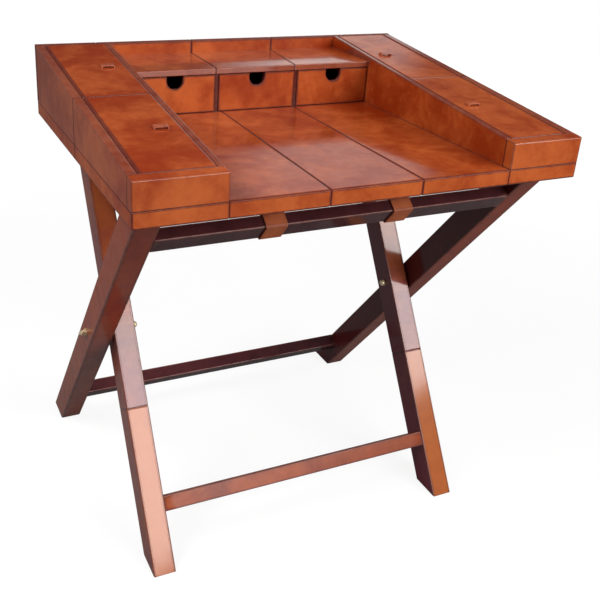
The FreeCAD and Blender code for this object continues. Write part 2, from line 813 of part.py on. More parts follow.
def lid_body(label, row, side, away="0"):
    """A body in a lid's own frame, away from the lid's front edge up the slope."""
    start = f"({lid_places[row][0]} + ({away}) * cos({slope_angle}))"
    body = new_body(label, f"({side} * {rod_x})", start, rod_height(start), slope_angle, 1)
    return body


def lid_length(row):
    front, back = lid_places[row]
    return f"(({back} - {front}) / cos({slope_angle}))"


def pull_middle(row):
    """Where a pull stands, measured up the slope from its lid's front edge."""
    return f"(({top_front} + {pull_places[row]} - {lid_places[row][0]}) / cos({slope_angle}))"


def make_lid(row, hand, side):
    """A lid whose hinge edge is rounded about the rod and bored for it, with two slits for the
    ends of its pull."""
    body = lid_body(f"lid_{row}_{hand}", row, side)
    length = lid_length(row)
    half = "(sizes.lid_thick / 2)"
    free = f"({-side} * {lid_reach})"
    plate = rectangle(body, "XZ_Plane", *((free, "0") if side > 0 else ("0", free)), f"(-{half})", half)
    pad(body, plate, length, back=True)
    pad(body, circle(body, "XZ_Plane", "0", "0", "sizes.lid_thick"), length, back=True)
    reach = value(lid_reach)
    top_half = value(half)
    bevel_edges(
        body,
        "sizes.lid_bevel",
        lambda edge: isinstance(edge.Curve, Part.Line)
        and edge.BoundBox.Center.z > top_half - close
        and (abs(edge.BoundBox.Center.x) > reach - close or edge.BoundBox.XLength > reach / 2),
    )
    bore = circle(body, "XZ_Plane", "0", "0", "sizes.rod_diameter + sizes.rod_play")
    pocket(body, bore, length)
    middle = f"({-side} * ({lid_reach} - sizes.pull_inset))"
    for end in (-1, 1):
        outside = f"({middle} + {end} * (sizes.pull_span / 2 + sizes.pull_play))"
        inside = f"({middle} + {end} * (sizes.pull_span / 2 - sizes.pull_thick - sizes.pull_play))"
        left, right = (outside, inside) if end < 0 else (inside, outside)
        slit = rectangle(
            body,
            "XY_Plane",
            left,
            right,
            f"{pull_middle(row)} - sizes.pull_width / 2 - sizes.pull_play",
            f"{pull_middle(row)} + sizes.pull_width / 2 + sizes.pull_play",
            half,
        )
        pocket(body, slit, "sizes.pull_root")
    return body


def make_pull(row, hand, side):
    """A short leather loop whose ends are let into the lid."""
    body = lid_body(f"lid_pull_{row}_{hand}", row, side, f"{pull_middle(row)} - sizes.pull_width / 2")
    middle = f"({-side} * ({lid_reach} - sizes.pull_inset))"
    far = "sizes.pull_span / 2"
    near = "(sizes.pull_span / 2 - sizes.pull_thick)"
    root = "(sizes.lid_thick / 2 - sizes.pull_root)"
    crown = "(sizes.lid_thick / 2 + sizes.pull_rise)"
    loop = outline(
        body,
        "XZ_Plane",
        [
            (f"{middle} - {far}", root),
            (f"{middle} - {near}", root),
            (f"{middle} - {near}", f"{crown} - sizes.pull_thick"),
            (f"{middle} + {near}", f"{crown} - sizes.pull_thick"),
            (f"{middle} + {near}", root),
            (f"{middle} + {far}", root),
            (f"{middle} + {far}", crown),
            (f"{middle} - {far}", crown),
        ],
    )
    pad(body, loop, "sizes.pull_width", back=True)
    level = value(crown)
    under = value(f"{crown} - sizes.pull_thick")
    round_edges(
        body,
        "sizes.pull_bend + sizes.pull_thick",
        lambda edge: runs_along(edge, 1) and abs(edge.BoundBox.Center.z - level) < close,
    )
    round_edges(
        body,
        "sizes.pull_bend",
        lambda edge: runs_along(edge, 1) and abs(edge.BoundBox.Center.z - under) < close,
    )
    return body


# The gallery: a shelf over three drawers, which stand between the inner walls and two dividers.

bay_width = f"((2 * {bay_half} - 2 * sizes.divider_thick) / 3)"
bays = {"left": -1, "middle": 0, "right": 1}


def divider_left(side):
    """The left face of a divider."""
    middle = f"({side} * ({bay_width} + sizes.divider_thick) / 2)"
    return f"({middle} - sizes.divider_thick / 2)"


def make_shelf():
    left = f"(-{bay_half} - {housing})"
    width = f"(2 * {bay_half} + 2 * {housing})"
    body = new_body("gallery_shelf", left, shelf_front, shelf_under)
    deep = f"{back_inside} - {shelf_front}"
    pad(body, rectangle(body, "XY_Plane", "0", width, "0", deep), "sizes.shelf_thick")
    round_edges(
        body,
        "sizes.shelf_round",
        lambda edge: runs_along(edge, 0) and abs(edge.BoundBox.Center.y) < close,
    )
    for side in (-1, 1):
        groove = rectangle(
            body,
            "XY_Plane",
            f"{divider_left(side)} - sizes.housing_play - {left}",
            f"{divider_left(side)} + sizes.divider_thick + sizes.housing_play - {left}",
            "sizes.divider_setback - sizes.housing_play",
            deep,
        )
        pocket(body, groove, housing, back=True)
    return body


def make_divider(hand, side):
    low = f"(sizes.surface_height - {housing})"
    return board(
        f"drawer_divider_{hand}",
        divider_left(side),
        f"({divider_left(side)} + sizes.divider_thick)",
        f"({shelf_front} + sizes.divider_setback)",
        back_inside,
        low,
        f"({shelf_under} + {housing})",
    )


front_plane = f"({shelf_front} + sizes.drawer_inset)"
drawer_back = f"({back_inside} - sizes.drawer_back_gap)"
drawer_low = "(sizes.surface_height + sizes.drawer_float)"
tray_front = f"({front_plane} + sizes.drawer_front)"
tray_high = f"({shelf_under} - sizes.drawer_gap - sizes.tray_drop)"
floor_low = f"({drawer_low} + sizes.drawer_floor_lift)"
floor_high = f"({floor_low} + sizes.drawer_floor)"


def drawer_ends(side):
    middle = f"({side} * ({bay_width} + sizes.divider_thick))"
    half = f"({bay_width} / 2 - sizes.drawer_gap)"
    return f"({middle} - {half})", f"({middle} + {half})"


def make_drawer_front(hand, side):
    """A drawer's front, with a round-bottomed finger notch in its top edge and a groove for the
    drawer's bottom."""
    left, right = drawer_ends(side)
    high = f"({shelf_under} - sizes.drawer_gap)"
    body = new_body(f"drawer_front_{hand}", left, front_plane, drawer_low)
    width, tall = f"({right} - {left})", f"({high} - {drawer_low})"
    face = rectangle(body, "XZ_Plane", "0", width, "0", tall)
    pad(body, face, "sizes.drawer_front", back=True)
    half = "sizes.notch_width / 2"
    round_low = f"({tall} - sizes.notch_depth + {half})"
    throat = rectangle(body, "XZ_Plane", f"{width} / 2 - {half}", f"{width} / 2 + {half}", round_low, tall)
    pocket(body, throat, "sizes.drawer_front")
    pocket(body, circle(body, "XZ_Plane", f"{width} / 2", round_low, "sizes.notch_width"), "sizes.drawer_front")
    bevel_edges(
        body,
        "sizes.drawer_bevel",
        lambda edge: abs(edge.BoundBox.Center.y) < close and edge.BoundBox.YLength < close,
    )
    groove = rectangle(
        body,
        "XZ_Plane",
        f"sizes.drawer_wall - {housing}",
        f"{width} - sizes.drawer_wall + {housing}",
        f"{floor_low} - {drawer_low}",
        f"{floor_high} - {drawer_low} + sizes.housing_play",
        "-sizes.drawer_front",
    )
    pocket(body, groove, housing, back=True)
    return body


def make_drawer_side(hand, side, end, edge_side):
    """A drawer's side, grooved for the bottom."""
    left, right = drawer_ends(side)
    near = left if edge_side < 0 else f"({right} - sizes.drawer_wall)"
    body = new_body(f"drawer_side_{hand}_{end}", near, tray_front, drawer_low)
    deep, tall = f"({drawer_back} - {tray_front})", f"({tray_high} - {drawer_low})"
    pad(body, rectangle(body, "YZ_Plane", "0", deep, "0", tall), "sizes.drawer_wall")
    groove = rectangle(
        body,
        "YZ_Plane",
        "0",
        deep,
        f"{floor_low} - {drawer_low}",
        f"{floor_high} - {drawer_low} + sizes.housing_play",
        "sizes.drawer_wall" if edge_side < 0 else None,
    )
    pocket(body, groove, housing, back=edge_side > 0)
    return body


def make_drawer(hand, side):
    left, right = drawer_ends(side)
    inside_left = f"({left} + sizes.drawer_wall)"
    inside_right = f"({right} - sizes.drawer_wall)"
    back_face = f"({drawer_back} - sizes.drawer_wall)"
    return [
        make_drawer_front(hand, side),
        make_drawer_side(hand, side, "a", -1),
        make_drawer_side(hand, side, "b", 1),
        board(
            f"drawer_back_{hand}", inside_left, inside_right, back_face, drawer_back, floor_high, tray_high
        ),
        board(
            f"drawer_floor_{hand}",
            f"({inside_left} - {housing})",
            f"({inside_right} + {housing})",
            f"({tray_front} - {housing})",
            drawer_back,
            floor_low,
            floor_high,
        ),
    ]


def make_top():
    made = [make_board(), make_back(), make_shelf(), make_rods()]
    for hand, side in sides.items():
        made.append(make_side_wall(hand, side))
        made.append(make_inner_wall(hand, side))
        made.append(make_front_wall(hand, side))
        made.append(make_partition(hand, side))
        made.append(make_ledge(hand, side))
        made.append(make_divider(hand, side))
        for row in lid_places:
            made.append(make_lid(row, hand, side))
            made.append(make_pull(row, hand, side))
    for hand, side in bays.items():
        made.extend(make_drawer(hand, side))
    return made


pieces = make_frames() + make_straps() + make_pivots() + make_top()
doc.recompute()

for thing in doc.Objects:
    if any(word in thing.State for word in ("Invalid", "Error")):
        raise RuntimeError(f"{thing.Label} did not build: {thing.State}")

os.makedirs("parts", exist_ok=True)
for piece in pieces:
    if piece.Shape.isNull() or not piece.Shape.isValid():
        raise RuntimeError(f"{piece.Label} has no valid shape")
    piece.Shape.exportStep(f"parts/{piece.Label}.step")
print(len(pieces), "pieces written")
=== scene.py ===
import json
import math
import random

import bmesh
import bpy
import numpy as np
from mathutils import Matrix, Vector


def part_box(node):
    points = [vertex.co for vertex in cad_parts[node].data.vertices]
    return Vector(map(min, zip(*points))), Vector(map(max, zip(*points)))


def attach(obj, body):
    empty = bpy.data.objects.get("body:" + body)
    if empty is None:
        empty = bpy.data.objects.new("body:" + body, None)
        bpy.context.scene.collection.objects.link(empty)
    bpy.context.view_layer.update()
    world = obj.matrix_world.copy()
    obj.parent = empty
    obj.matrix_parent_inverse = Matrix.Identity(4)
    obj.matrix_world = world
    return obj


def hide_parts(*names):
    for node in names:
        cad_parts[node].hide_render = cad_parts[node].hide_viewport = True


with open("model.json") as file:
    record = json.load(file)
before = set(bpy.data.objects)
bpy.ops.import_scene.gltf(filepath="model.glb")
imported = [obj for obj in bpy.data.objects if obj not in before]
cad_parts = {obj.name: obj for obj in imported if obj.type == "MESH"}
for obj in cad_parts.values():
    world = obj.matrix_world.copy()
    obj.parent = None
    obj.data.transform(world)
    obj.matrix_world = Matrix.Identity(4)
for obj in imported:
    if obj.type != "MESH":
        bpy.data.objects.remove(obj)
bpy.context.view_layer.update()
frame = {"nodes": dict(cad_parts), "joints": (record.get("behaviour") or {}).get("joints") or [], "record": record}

mm = 0.001
scene = bpy.context.scene
joints = {joint["name"]: joint for joint in frame["joints"]}
bodyOfNode = {
    node: body for body, nodes in frame["record"]["behaviour"]["bodies"].items() for node in nodes
}
slotOfNode = {part["node"]: part["material_slot"] for part in frame["record"]["subparts"]}
print("frame loaded,", len(frame["nodes"]), "nodes")


# Node trees are written as short chains of these. A socket is given by its label, or by its place as
# i0, i1 and so on.


def fillSockets(tree, node, values):
    for key, value in values.items():
        socket = node.inputs[int(key[1:]) if key[1:].isdigit() else key]
        if isinstance(value, bpy.types.NodeSocket):
            tree.links.new(value, socket)
        else:
            socket.default_value = value


def addNode(tree, kind, settings=None, **sockets):
    node = tree.nodes.new(kind)
    for key, value in (settings or {}).items():
        setattr(node, key, value)
    fillSockets(tree, node, sockets)
    return node


def newMaterial(name):
    material = bpy.data.materials.new(name)
    material.use_nodes = True
    tree = material.node_tree
    tree.nodes.clear()
    shader = tree.nodes.new("ShaderNodeBsdfPrincipled")
    output = tree.nodes.new("ShaderNodeOutputMaterial")
    tree.links.new(shader.outputs["BSDF"], output.inputs["Surface"])
    place = addNode(tree, "ShaderNodeTexCoord").outputs["Object"]
    return material, tree, shader, place


def calc(tree, operation, a, b):
    return addNode(tree, "ShaderNodeMath", {"operation": operation}, i0=a, i1=b).outputs[0]


def spread(tree, value, low, high, newLow=0.0, newHigh=1.0):
    settings = {"interpolation_type": "SMOOTHSTEP"}
    node = addNode(tree, "ShaderNodeMapRange", settings, i0=value, i1=low, i2=high, i3=newLow, i4=newHigh)
    return node.outputs[0]


def blendColours(tree, share, first, second):
    return addNode(tree, "ShaderNodeMix", {"data_type": "RGBA"}, i0=share, i6=first, i7=second).outputs[2]


def noiseAt(tree, place, scale, detail=3.0, rough=0.55, distortion=0.0):
    node = addNode(
        tree,
        "ShaderNodeTexNoise",
        Vector=place,
        Scale=scale,
        Detail=detail,
        Roughness=rough,
        Distortion=distortion,
    )
    return node.outputs["Fac"]


def readAttribute(tree, name):
    return addNode(tree, "ShaderNodeAttribute", {"attribute_name": name}).outputs["Fac"]


# Leather: mottled aniline colour with a darker, purplish dye along the edges and in the seams, under
# a wax polish that is a little uneven. A noise is a scale and, where it needs them, a detail, a
# roughness and a distortion.

saddle = {
    "light": (0.540, 0.116, 0.027, 1),
    "deep": (0.290, 0.032, 0.005, 1),
    "mottle": (12.0, 5.0, 0.62, 0.5),
    "cloud": (62.0, 4.0, 0.6, 0.3),
    "shares": (0.75, 0.24, 0.16),  # of the mottle, the cloud and the panel's own tone
    "shadeRange": (0.36, 0.77),
    "dye": (0.085, 0.015, 0.014, 1),
    "wander": (120.0, 3.0),  # of the dye's border
    "edgeReach": 1.6 * mm,
    "edgeFade": (0.4, 1.6),  # in edge reaches
    "edgeDye": 0.66,
    "seamWander": 0.3,
    "seamFade": (0.3, 0.95),
    "seamDye": 0.95,
    # The pale line on the very edges is partly wear and partly a painted highlight where the rounded edges catch
    # the light.
    "wornAndHighlit": (0.600, 0.250, 0.180, 1),
    "chafeAndGlint": (60.0, 3.0, 0.5),
    "chafeAndGlintReach": 2.0 * mm,
    "rubAndHighlightFade": (0.7 * mm, 1.9 * mm),
    "rubAndHighlight": 0.22,
    "pores": 620.0,
    "poreRange": (0.0, 0.45),
    "grain": (1500.0, 4.0, 0.6),
    "grainHeight": 0.10 * mm,
    "grainBump": 0.3,
    "wave": (17.0, 3.0, 0.5),
    "waveHeight": 0.45 * mm,
    "waveBump": 0.5,
    "smudge": (34.0, 4.0, 0.65),
    "smudgeRange": (0.3, 0.75),
    "rough": (0.30, 0.46),
    "specular": 0.06,
    "coat": 0.62,
    "coatRough": 0.085,
    "coatIor": 1.5,
}
drawerHide = {**saddle, "coat": 0.18, "coatRough": 0.28, "edgeReach": 2.2 * mm, "edgeDye": 0.85, "rubAndHighlight": 0.1}
legHide = {
    **saddle,
    "light": (0.540, 0.140, 0.028, 1),
    "deep": (0.190, 0.020, 0.038, 1),
    "mottle": (9.0, 5.0, 0.62, 0.5),
    "shares": (0.40, 0.14, 0.30),
    "shadeRange": (0.12, 0.62),
    "edgeDye": 0.7,
    "seamDye": 0.6,
    "waveHeight": 0.3 * mm,
    "specular": 0.12,
    "coat": 1.0,
    "coatRough": 0.11,
    "coatIor": 1.56,
}
# The outer frame's leather is a darker, redder copy of the leg leather: painted shade for its faces that turn down
# under the tray.
outerHide = {**legHide, "light": (0.470, 0.078, 0.020, 1), "deep": (0.125, 0.016, 0.018, 1), "coat": 0.72}
strapHide = {
    **saddle,
    "light": (0.660, 0.190, 0.080, 1),
    "deep": (0.420, 0.106, 0.042, 1),
    "edgeDye": 0.45,
    "rough": (0.42, 0.6),
    "coat": 0.12,
    "coatRough": 0.3,
}
liningHide = {
    **saddle,
    "light": (0.085, 0.026, 0.014, 1),
    "deep": (0.040, 0.012, 0.008, 1),
    "waveHeight": 0.15 * mm,
    "rough": (0.6, 0.8),
    "coat": 0.0,
}
hides = {
    "saddle": saddle,
    "wall": {**saddle, "coat": 0.9, "edgeReach": 1.2 * mm, "edgeDye": 0.6, "rubAndHighlight": 0.16},
    # The field's wider, stronger edge dye also paints the shade along the feet of the walls and the gallery
    # standing on it.
    "field": {**saddle, "edgeReach": 2.2 * mm, "edgeDye": 0.85, "rubAndHighlight": 0.04},
    "lid": {**saddle, "edgeReach": 1.3 * mm, "edgeDye": 0.8, "rubAndHighlight": 0.05},
    "drawer": drawerHide,
    "divider": {**saddle, "coat": 0.18, "edgeDye": 0.95, "rubAndHighlight": 0.0},
    # The rail leather is painted nearly black: painted shade for the rails and rear stretcher under the tray.
    "rail": {**saddle, "coat": 1.0, "light": (0.095, 0.026, 0.029, 1), "deep": (0.050, 0.014, 0.018, 1)},
    "outer": outerHide,
    "bar": {**outerHide, "light": (0.520, 0.112, 0.026, 1), "coat": 0.3, "coatRough": 0.22},
    "tab": {**saddle, "edgeDye": 0.12, "rubAndHighlight": 0.25},
    "leg": legHide,
    "strap": strapHide,
    "lining": liningHide,
}


def hideColour(tree, place, hide):
    tones = (
        noiseAt(tree, place, *hide["mottle"]),
        noiseAt(tree, place, *hide["cloud"]),
        readAttribute(tree, "tone"),
    )
    parts = [calc(tree, "MULTIPLY", tone, share) for tone, share in zip(tones, hide["shares"])]
    shade = calc(tree, "ADD", calc(tree, "ADD", parts[0], parts[1]), parts[2])
    plain = blendColours(tree, spread(tree, shade, *hide["shadeRange"]), hide["light"], hide["deep"])

    wander = noiseAt(tree, place, *hide["wander"])
    edge = readAttribute(tree, "edge")
    fromEdge = calc(tree, "ADD", edge, calc(tree, "MULTIPLY", wander, hide["edgeReach"]))
    near, far = [reaches * hide["edgeReach"] for reaches in hide["edgeFade"]]
    atEdge = spread(tree, fromEdge, near, far, hide["edgeDye"], 0.0)
    unevenly = calc(tree, "MULTIPLY", wander, hide["seamWander"])
    inSeam = calc(tree, "ADD", readAttribute(tree, "seam"), unevenly)
    atSeam = spread(tree, inSeam, *hide["seamFade"], 0.0, hide["seamDye"])
    dyed = blendColours(tree, calc(tree, "MAXIMUM", atEdge, atSeam), plain, hide["dye"])

    # A pale, uneven line along the very edges: part wear, part painted highlight of the light on the rounded
    # edges.
    chafeAndGlint = calc(tree, "MULTIPLY", noiseAt(tree, place, *hide["chafeAndGlint"]), hide["chafeAndGlintReach"])
    rubbedAndHighlit = spread(tree, calc(tree, "ADD", chafeAndGlint, edge), *hide["rubAndHighlightFade"], hide["rubAndHighlight"], 0.0)
    return blendColours(tree, rubbedAndHighlit, dyed, hide["wornAndHighlit"])


def hideRelief(tree, place, hide):
    pores = addNode(tree, "ShaderNodeTexVoronoi", Vector=place, Scale=hide["pores"]).outputs["Distance"]
    grain = noiseAt(tree, place, *hide["grain"])
    fine = addNode(
        tree,
        "ShaderNodeBump",
        Strength=hide["grainBump"],
        Distance=hide["grainHeight"],
        Height=calc(tree, "ADD", spread(tree, pores, *hide["poreRange"]), grain),
    )
    broad = addNode(
        tree,
        "ShaderNodeBump",
        Strength=hide["waveBump"],
        Distance=hide["waveHeight"],
        Height=noiseAt(tree, place, *hide["wave"]),
        Normal=fine.outputs[0],
    )
    return broad.outputs[0]


def makeLeather(name, hide):
    material, tree, shader, place = newMaterial(name)
    smudge = noiseAt(tree, place, *hide["smudge"])
    values = {
        "Base Color": hideColour(tree, place, hide),
        "Roughness": spread(tree, smudge, *hide["smudgeRange"], *hide["rough"]),
        "Normal": hideRelief(tree, place, hide),
        "Specular IOR Level": hide["specular"],
        "Coat Weight": hide["coat"],
        "Coat Roughness": hide["coatRough"],
        "Coat IOR": hide["coatIor"],
    }
    fillSockets(tree, shader, values)
    return material


# Metals: polished brass and bare steel, both a little tarnished.

patina = {
    "tarnish": (160.0, 5.0, 0.65),
    "colourRange": (0.42, 0.72),
    "roughRange": (0.35, 0.7),
    "marks": (900.0, 3.0),
    "markBump": 0.2,
    "markHeight": 0.05 * mm,
}
brass = {
    "light": (1.00, 0.86, 0.58, 1),
    "deep": (0.80, 0.58, 0.28, 1),
    "rough": (0.20, 0.36),
    "metal": 0.35,
}
steel = {
    "light": (0.52, 0.51, 0.50, 1),
    "deep": (0.27, 0.26, 0.25, 1),
    "rough": (0.25, 0.45),
    "metal": 1.0,
}


def makeMetal(name, finish):
    material, tree, shader, place = newMaterial(name)
    tarnish = noiseAt(tree, place, *patina["tarnish"])
    marks = noiseAt(tree, place, *patina["marks"])
    bump = addNode(
        tree, "ShaderNodeBump", Strength=patina["markBump"], Distance=patina["markHeight"], Height=marks
    )
    share = spread(tree, tarnish, *patina["colourRange"])
    values = {
        "Base Color": blendColours(tree, share, finish["light"], finish["deep"]),
        "Roughness": spread(tree, tarnish, *patina["roughRange"], *finish["rough"]),
        "Normal": bump.outputs[0],
        "Metallic": finish["metal"],
    }
    fillSockets(tree, shader, values)
    return material


thread = {
    "light": (0.150, 0.045, 0.030, 1),
    "deep": (0.060, 0.018, 0.014, 1),
    "twist": (900.0, 2.0),
    "twistRange": (0.35, 0.65),
    "twistBump": 0.4,
    "twistHeight": 0.1 * mm,
    "rough": 0.55,
}


def makeThread():
    material, tree, shader, place = newMaterial("waxedThread")
    twist = noiseAt(tree, place, *thread["twist"])
    bump = addNode(
        tree, "ShaderNodeBump", Strength=thread["twistBump"], Distance=thread["twistHeight"], Height=twist
    )
    share = spread(tree, twist, *thread["twistRange"])
    values = {
        "Base Color": blendColours(tree, share, thread["light"], thread["deep"]),
        "Roughness": thread["rough"],
        "Normal": bump.outputs[0],
    }
    fillSockets(tree, shader, values)
    return material


leathers = {name: makeLeather(f"{name}Leather", hide) for name, hide in hides.items()}
finishOfSlot = {
    "top_leather": leathers["saddle"],
    "frame_leather": leathers["leg"],
    "strap_leather": leathers["strap"],
    "pull_leather": leathers["tab"],
    "lining_leather": leathers["lining"],
    "brass": makeMetal("brass", brass),
    "steel": makeMetal("steel", steel),
}
waxedThread = makeThread()
for nodeName, cadObject in frame["nodes"].items():
    cadObject.data.materials.clear()
    # The drawer dividers carry no edge attribute, so the edge dye darkens the whole of them.
    divides = nodeName.startswith("drawer_divider")
    cadObject.data.materials.append(leathers["divider"] if divides else finishOfSlot[slotOfNode[nodeName]])
print("materials made")


# Leatherwork. Each board is covered with hides that meet in sunk seams. Its copy is cut into a grid
# with closer cuts along the edges, which carries the dye and shades evenly.

leatherwork = {
    "merge": 0.002 * mm,
    "flatWithin": math.radians(0.6),
    "turnOfEdge": math.radians(4),
    "sharpFrom": math.radians(48),
    "cutSnap": 0.001 * mm,
    "grid": 24.0 * mm,
    "edgeSteps": [1.2 * mm, 2.6 * mm, 4.2 * mm, 6.5 * mm, 10.0 * mm],
    "edgeLimit": 10.0 * mm,
    "contactSteps": [0.0, 1.2 * mm, 2.6 * mm, 4.2 * mm],
    # How far out from a contact the dark line reaches: partly dye, partly painted shade at the foot of the
    # standing board.
    "contactDyeAndShade": 1.4 * mm,
    "tones": (0.25, 0.85),
}
seam = {
    "half": 1.7 * mm,
    "depth": 0.55 * mm,
    "cuts": (-2.4, -1.0, -0.5, 0.0, 0.5, 1.0, 2.4),  # in half widths
    "profile": {0.0: (1.0, 1.0), 0.5: (0.95, 0.75), 1.0: (0.6, 0.0)},  # dye and depth at the inner cuts
    "nearCut": 0.05,
    "skinSlant": 0.3,
}


def cutAcross(bm, point, normal, inRegion=None):
    faces = bm.faces[:] if inRegion is None else [f for f in bm.faces if inRegion(f.calc_center_median())]
    if inRegion is None:
        geometry = bm.verts[:] + bm.edges[:] + faces
    else:
        edges = {edge for face in faces for edge in face.edges}
        verts = {vert for face in faces for vert in face.verts}
        geometry = list(verts) + list(edges) + faces
    bmesh.ops.bisect_plane(bm, geom=geometry, dist=leatherwork["cutSnap"], plane_co=point, plane_no=normal)


# A seam is a rounded groove where a plane crosses the board's skin.
def sinkSeam(bm, point, normal, inRegion=None):
    point, normal = Vector(point), Vector(normal).normalized()
    for step in seam["cuts"]:
        cutAcross(bm, point + normal * seam["half"] * step, normal, inRegion)
    bm.normal_update()
    seamMark = bm.verts.layers.float["seam"]
    moves = []
    for vert in bm.verts:
        if inRegion is not None and not inRegion(vert.co):
            continue
        away = abs((vert.co - point).dot(normal)) / seam["half"]
        for step, (dye, share) in seam["profile"].items():
            if abs(away - step) < seam["nearCut"]:
                vert[seamMark] = dye
                inward = vert.normal - normal * vert.normal.dot(normal)
                if share and inward.length > seam["skinSlant"]:
                    moves.append((vert, inward.normalized() * seam["depth"] * share))
    for vert, move in moves:
        vert.co -= move


def turnedEdges(bm):
    ends = []
    for edge in bm.edges:
        if len(edge.link_faces) != 2 or edge.calc_face_angle(0.0) > leatherwork["turnOfEdge"]:
            ends.append((np.array(edge.verts[0].co), np.array(edge.verts[1].co)))
    return ends


def edgeDistances(bm, ends, margin=0.0):
    points = np.array([vert.co for vert in bm.verts])
    nearest = np.full(len(points), leatherwork["edgeLimit"])
    for start, end in ends:
        along = end - start
        share = np.clip((points - start) @ along / max(along @ along, 1e-12), 0, 1)
        gaps = np.linalg.norm(points - start - share[:, None] * along, axis=1)
        nearest = np.minimum(nearest, np.maximum(gaps - margin, 0.0))
    return nearest


def gridPlaces(low, high):
    steps = leatherwork["edgeSteps"]
    inner = high - low - 2 * steps[-1]
    if inner <= 0:
        return []
    count = max(1, round(inner / leatherwork["grid"]))
    middle = [low + steps[-1] + inner * index / count for index in range(1, count)]
    return [low + step for step in steps] + middle + [high - step for step in steps]


def cutGrid(bm, contacts):
    places = np.array([vert.co for vert in bm.verts])
    for axis in range(3):
        normal = Vector([float(index == axis) for index in range(3)])
        for place in gridPlaces(places[:, axis].min(), places[:, axis].max()):
            cutAcross(bm, normal * place, normal)
    for start, end in contacts:
        across = Vector(end - start).cross(Vector((0, 0, 1)))
        for step in leatherwork["contactSteps"]:
            for side in (-1, 1):
                cutAcross(bm, Vector(start) + across.normalized() * step * side, across)


# The panels between the seams each draw a tone from a range, apart from those towards the sitter where
# front gives it.
def panelTones(bm, node, seams, tones, front):
    draw = random.Random(node)
    toneOfPanel = {}
    faceTones = []
    for face in bm.faces:
        centre = face.calc_center_median()
        sides = tuple((centre - Vector(point)).dot(Vector(normal)) > 0 for point, normal, *_ in seams)
        facing = max(range(3), key=lambda axis: abs(face.normal[axis]))
        panel = (sides, facing, face.normal[facing] > 0)
        if panel not in toneOfPanel:
            toneOfPanel[panel] = draw.uniform(*tones)
        towardsSitter = facing == 1 and face.normal[1] < 0
        faceTones.append(front if front is not None and towardsSitter else toneOfPanel[panel])
    return faceTones


def applyModifiers(piece):
    bpy.context.view_layer.update()
    evaluated = piece.evaluated_get(bpy.context.evaluated_depsgraph_get())
    finished = bpy.data.meshes.new_from_object(evaluated)
    piece.modifiers.clear()
    piece.data = finished


# Weighs the normals by area, so that rounded edges shade round and flat faces stay flat.
def keepFlatsFlat(piece):
    modifier = piece.modifiers.new("weights", "WEIGHTED_NORMAL")
    modifier.weight = 100
    modifier.keep_sharp = True
    applyModifiers(piece)


# Replaces a CAD board with its leather-covered copy. lean is the board's own frame, each seam is a
# point, a normal and maybe a test of its place, and contacts are lines where other boards stand on it,
# along which the dye is partly painted shade at those boards' feet.
# The tones are a range for its panels and one for those towards the sitter, or a function of the place
# and the normal.
def coverBoard(node, lean=None, seams=(), contacts=(), finish=None, tones=None, front=None, tone=None):
    frameOfBoard = lean or Matrix.Identity(4)
    bm = bmesh.new()
    bm.from_mesh(frame["nodes"][node].data)
    bmesh.ops.remove_doubles(bm, verts=bm.verts, dist=leatherwork["merge"])
    bmesh.ops.dissolve_limit(bm, angle_limit=leatherwork["flatWithin"], verts=bm.verts, edges=bm.edges)
    bm.transform(frameOfBoard.inverted())
    ends = turnedEdges(bm)
    bm.verts.layers.float.new("seam")
    cutGrid(bm, contacts)
    for point, normal, *inRegion in seams:
        sinkSeam(bm, point, normal, *inRegion)
    distances = edgeDistances(bm, ends)
    # Along the contacts the dye also stands for the shade at the foot of the boards standing there: painted shade.
    distances = np.minimum(distances, edgeDistances(bm, contacts, leatherwork["contactDyeAndShade"]))
    bm.normal_update()
    if tone:
        faceTones = [tone(face.calc_center_median(), face.normal) for face in bm.faces]
    else:
        faceTones = panelTones(bm, node, seams, tones or leatherwork["tones"], front)
    bm.transform(frameOfBoard)
    mesh = bpy.data.meshes.new(f"{node}Cover")
    bm.to_mesh(mesh)
    bm.free()
    mesh.attributes.new("edge", "FLOAT", "POINT").data.foreach_set("value", distances.astype(np.float32))
    mesh.attributes.new("tone", "FLOAT", "FACE").data.foreach_set("value", np.array(faceTones, np.float32))
    mesh.shade_smooth()
    mesh.set_sharp_from_angle(angle=leatherwork["sharpFrom"])
    mesh.materials.append(finish or finishOfSlot[slotOfNode[node]])
    cover = bpy.data.objects.new(f"{node}_cover", mesh)
    scene.collection.objects.link(cover)
    keepFlatsFlat(cover)
    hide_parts(node)
    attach(cover, bodyOfNode[node])


# The tray top. The seams between the hides run a little off square, as they were laid by hand.

boardLow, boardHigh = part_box("desk_board")
shelfLow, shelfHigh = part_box("gallery_shelf")
topFront = boardLow.y
surface = boardHigh.z
slopeAxis = Vector(joints["lid_hinge_front_right"]["axis"]).normalized()

fieldSeams = {
    "frontX": (-82.5 * mm, 77 * mm),
    "rearX": (-71 * mm, 79 * mm),
    "underShelf": 10 * mm,
    "frontEdge": 3.0 * mm,
    "sidePlace": 311 * mm,
    "rim": 8 * mm,  # how far in from the board's rim its short seams reach
    "skin": 1.0 * mm,
    "contactFrom": 2 * mm,
    # Panels of the field and the front walls towards the sitter take this lighter tone: painted light on the
    # fronts that face the lamps.
    "frontTone": 0.0,
}


def slantedSeam(frontX, rearX, frontY, rearY):
    along = Vector((rearX - frontX, rearY - frontY, 0))
    return Vector((frontX, frontY, 0)), Vector((along.y, -along.x, 0))


def sideSeam():
    return Vector((0, topFront + fieldSeams["sidePlace"], 0)), (0, 1, 0)


